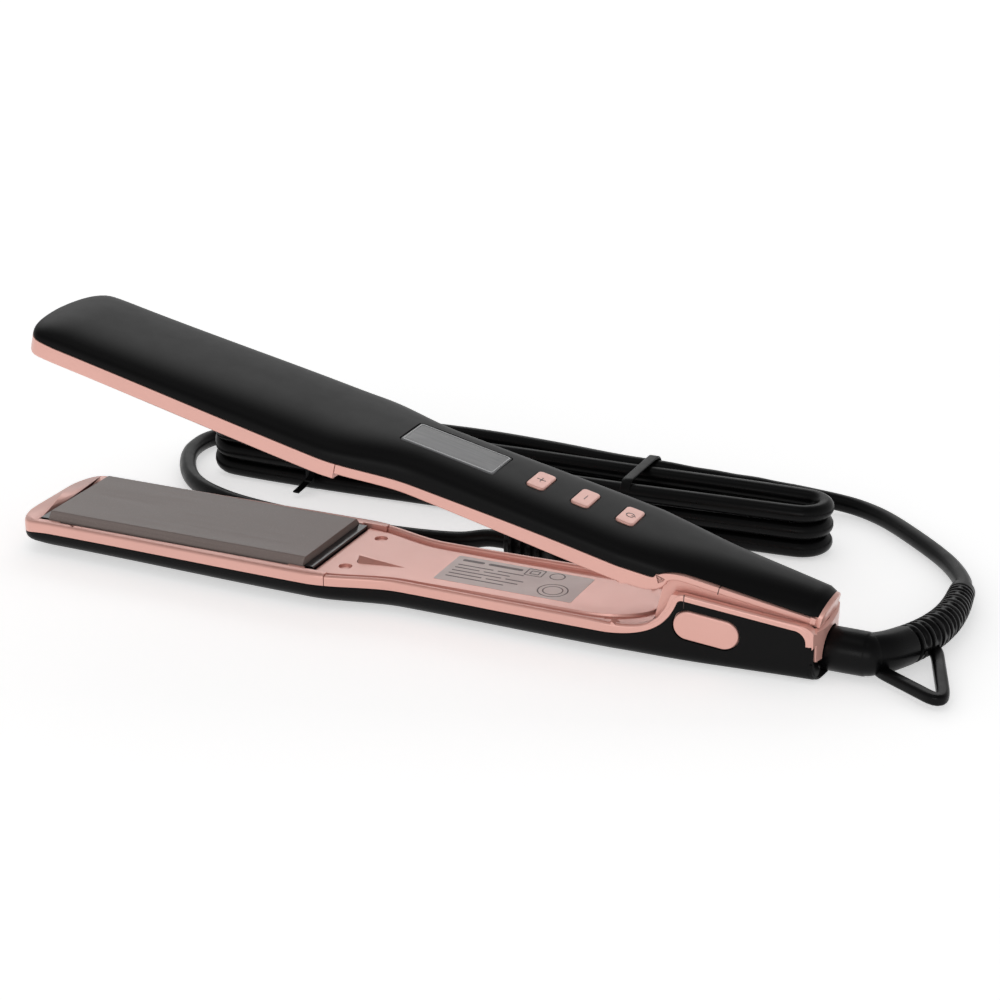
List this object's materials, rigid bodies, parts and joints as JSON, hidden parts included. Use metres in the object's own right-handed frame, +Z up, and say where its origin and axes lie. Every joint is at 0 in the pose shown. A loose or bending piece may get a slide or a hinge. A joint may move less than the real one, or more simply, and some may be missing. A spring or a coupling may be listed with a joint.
{
  "type": "hair straightener",
  "caption": "Corded hair straightener lying part open: hinged arms with floating heating plates, display window, push buttons and a swivelling cord tied in a hank.",
  "frame": {"origin": "on the table, in the flat underside of the lower arm, straight below the hinge pin", "axes": "+X along the arms from the plates towards the cord, +Y across the arms towards the coiled cord, +Z up from the table"},
  "size_m": [0.3323, 0.1555, 0.0833],
  "materials": {
    "soft_touch_black": "soft-touch satin paint",
    "rose_gold_lacquer": "satin metallic lacquer",
    "coated_plate": "ceramic coated, satin",
    "bare_aluminium": "as extruded",
    "heater_white": "fired ceramic white",
    "gloss_black": "gloss moulded",
    "silicone": "matte silicone",
    "steel": "plain",
    "wire_sleeve": "glass braid sleeve",
    "label_film": "printed foil",
    "brass": "bright",
    "circuit_board": "solder mask",
    "display_panel": "segment display",
    "clear_lens": "clear polished acrylic",
    "bearing_plastic": "self-lubricating plastic",
    "cord_black": "semi-gloss moulded PVC"
  },
  "bodies": {
    "lower_arm": {"cord_lead": "cord_black", "cord_tie_front": "cord_black", "cord_tie_rear": "cord_black", "hinge_cap_left": "rose_gold_lacquer", "hinge_cap_right": "rose_gold_lacquer", "hinge_pin": "steel", "lower_front_cushion": "silicone", "lower_handle_cover": "rose_gold_lacquer", "lower_heater_leads": "wire_sleeve", "lower_left_screw": "steel", "lower_plate_carrier": "rose_gold_lacquer", "lower_plate_front_bar": "gloss_black", "lower_plate_rear_bar": "gloss_black", "lower_rear_cushion": "silicone", "lower_right_screw": "steel", "lower_shell": "soft_touch_black", "opening_spring": "steel", "plug_blade_left": "brass", "plug_blade_right": "brass", "plug_body": "cord_black", "power_cord": "cord_black", "rating_label": "label_film", "swivel_ring_contact": "brass", "swivel_socket": "gloss_black"},
    "upper_arm": {"control_board": "circuit_board", "display_module": "display_panel", "display_window": "clear_lens", "hinge_bush_left": "bearing_plastic", "hinge_bush_right": "bearing_plastic", "switch_minus": "gloss_black", "switch_plus": "gloss_black", "switch_power": "gloss_black", "thermal_fuse": "heater_white", "upper_front_cushion": "silicone", "upper_handle_cover": "rose_gold_lacquer", "upper_heater_leads": "wire_sleeve", "upper_left_screw": "steel", "upper_plate_carrier": "rose_gold_lacquer", "upper_plate_front_bar": "gloss_black", "upper_plate_rear_bar": "gloss_black", "upper_rear_cushion": "silicone", "upper_right_screw": "steel", "upper_shell": "soft_touch_black"},
    "lower_plate": {"lower_heating_plate": "coated_plate", "lower_heater_carrier": "bare_aluminium", "lower_heater_element": "heater_white"},
    "upper_plate": {"upper_heating_plate": "coated_plate", "upper_heater_carrier": "bare_aluminium", "upper_heater_element": "heater_white"},
    "button_plus": {"button_plus": "rose_gold_lacquer"},
    "button_minus": {"button_minus": "rose_gold_lacquer"},
    "button_power": {"button_power": "rose_gold_lacquer"},
    "cord_swivel": {"cord_guard": "cord_black", "swivel_centre_contact": "brass"}
  },
  "joints": [
    {"name": "arm_hinge", "type": "hinge", "parent": "lower_arm", "child": "upper_arm", "pos_m": [0, 0, 0.0138], "axis": [0, -1, 0], "range_deg": [0, 13], "stiffness_Nm_per_rad": 1.6, "springref_deg": -11.46, "deforming": ["opening_spring"]},
    {"name": "lower_plate_float", "type": "slide", "parent": "lower_arm", "child": "lower_plate", "axis": [0, 0, -1], "range_m": [0, 0.0008], "stiffness_N_per_m": 4000, "springref_m": -0.0004, "deforming": ["lower_front_cushion", "lower_rear_cushion"]},
    {"name": "upper_plate_float", "type": "slide", "parent": "upper_arm", "child": "upper_plate", "axis": [0.225, 0, 0.9744], "range_m": [0, 0.0008], "stiffness_N_per_m": 4000, "springref_m": -0.0004, "deforming": ["upper_front_cushion", "upper_rear_cushion"]},
    {"name": "plus_press", "type": "slide", "parent": "upper_arm", "child": "button_plus", "axis": [-0.225, 0, -0.9744], "range_m": [0, 0.0006], "stiffness_N_per_m": 260, "springref_m": -0.0001},
    {"name": "minus_press", "type": "slide", "parent": "upper_arm", "child": "button_minus", "axis": [-0.225, 0, -0.9744], "range_m": [0, 0.0006], "stiffness_N_per_m": 260, "springref_m": -0.0001},
    {"name": "power_press", "type": "slide", "parent": "upper_arm", "child": "button_power", "axis": [-0.225, 0, -0.9744], "range_m": [0, 0.0006], "stiffness_N_per_m": 260, "springref_m": -0.0001},
    {"name": "cord_swivel", "type": "hinge", "parent": "lower_arm", "child": "cord_swivel", "pos_m": [0.03, 0, 0.0076], "axis": [1, 0, 0], "continuous": true, "deforming": ["cord_lead"]}
  ]
}
